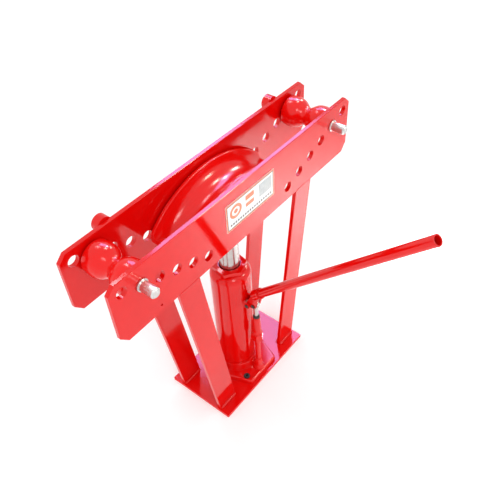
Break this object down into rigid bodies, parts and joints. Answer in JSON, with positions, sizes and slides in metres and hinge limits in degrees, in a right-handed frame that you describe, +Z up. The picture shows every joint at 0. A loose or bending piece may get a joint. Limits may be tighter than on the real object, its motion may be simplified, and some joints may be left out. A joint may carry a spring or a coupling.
{
  "type": "hydraulic tube bender",
  "caption": "Bench tube bender: twin side plates with pin holes on splayed legs, a hand-pumped bottle jack lifting a grooved half-moon die between two hourglass rollers.",
  "frame": {"origin": "centre of the base plate's underside", "axes": "+X along the side plates, +Z up along the jack ram, the pump handle points to -Y"},
  "size_m": [0.61, 0.4584, 0.5873],
  "materials": {
    "frame_red": "gloss enamel",
    "jack_red": "gloss enamel",
    "die_red": "gloss enamel on casting",
    "label_face": "printed film",
    "pin_steel": "bright turned",
    "dark_steel": "blackened",
    "black_screw": "black oxide",
    "plain_steel": "machined, oiled",
    "ram_chrome": "ground bright",
    "black_rubber": "matt"
  },
  "bodies": {
    "frame": {"base_plate": "frame_red", "side_plate_front": "frame_red", "side_plate_rear": "frame_red", "leg_front_left": "frame_red", "leg_front_right": "frame_red", "leg_rear_left": "frame_red", "leg_rear_right": "frame_red", "foot_welds": "frame_red", "beam_welds": "frame_red", "rear_stub_left": "frame_red", "rear_stub_right": "frame_red", "label_plate": "label_face", "jack_foot": "jack_red", "foot_screws": "dark_steel", "relief_plug": "black_screw", "reservoir_tube": "jack_red", "pressure_cylinder": "plain_steel", "gland_nut": "jack_red", "ram_wiper": "black_rubber", "filler_plug": "black_rubber", "pump_barrel": "jack_red", "pump_seal": "black_rubber", "delivery_ball": "plain_steel", "intake_ball": "plain_steel", "fulcrum_lug_left": "jack_red", "fulcrum_lug_right": "jack_red", "fulcrum_pin": "dark_steel"},
    "ram": {"ram_rod": "ram_chrome", "ram_piston": "plain_steel", "piston_seal": "black_rubber", "ram_saddle": "plain_steel"},
    "die": {"bending_die": "die_red"},
    "left_roller": {"roller_left": "die_red"},
    "right_roller": {"roller_right": "die_red"},
    "left_pin": {"pin_left": "pin_steel", "pin_collar_left": "pin_steel"},
    "right_pin": {"pin_right": "pin_steel", "pin_collar_right": "pin_steel"},
    "yoke": {"pump_yoke": "jack_red", "plunger_pin": "dark_steel"},
    "plunger": {"pump_plunger": "ram_chrome"},
    "handle": {"handle_tube": "jack_red"},
    "valve": {"release_valve": "dark_steel"}
  },
  "joints": [
    {"name": "ram_stroke", "type": "slide", "parent": "frame", "child": "ram", "axis": [0, 0, 1], "range_m": [-0.115, 0.105]},
    {"name": "die_lift_off", "type": "slide", "parent": "ram", "child": "die", "axis": [0, 0, 1], "range_m": [0, 0.12]},
    {"name": "left_roller_spin", "type": "hinge", "parent": "frame", "child": "left_roller", "pos_m": [-0.2473, 0, 0.5061], "axis": [0, 1, 0], "continuous": true},
    {"name": "right_roller_spin", "type": "hinge", "parent": "frame", "child": "right_roller", "pos_m": [0.2473, 0, 0.5061], "axis": [0, 1, 0], "continuous": true},
    {"name": "left_pin_draw", "type": "slide", "parent": "frame", "child": "left_pin", "axis": [0, -1, 0], "range_m": [0, 0.155]},
    {"name": "right_pin_draw", "type": "slide", "parent": "frame", "child": "right_pin", "axis": [0, -1, 0], "range_m": [0, 0.155]},
    {"name": "pump_swing", "type": "hinge", "parent": "frame", "child": "yoke", "pos_m": [0, -0.0445, 0.224], "axis": [1, 0, 0], "range_deg": [-5, 40]},
    {"name": "plunger_stroke", "type": "slide", "parent": "frame", "child": "plunger", "axis": [0, 0, 1], "range_m": [-0.0092, 0.0013]},
    {"name": "handle_pull_out", "type": "slide", "parent": "yoke", "child": "handle", "axis": [0, -0.6959, 0.7181], "range_m": [0, 0.05]},
    {"name": "release_turn", "type": "hinge", "parent": "frame", "child": "valve", "pos_m": [-0.056, -0.006, 0.018], "axis": [-0.5299, 0, 0.848], "range_deg": [0, 450]}
  ],
  "couplings": [
    {"joint": "plunger_stroke", "follows": "pump_swing", "m_per_rad": -0.01286}
  ]
}
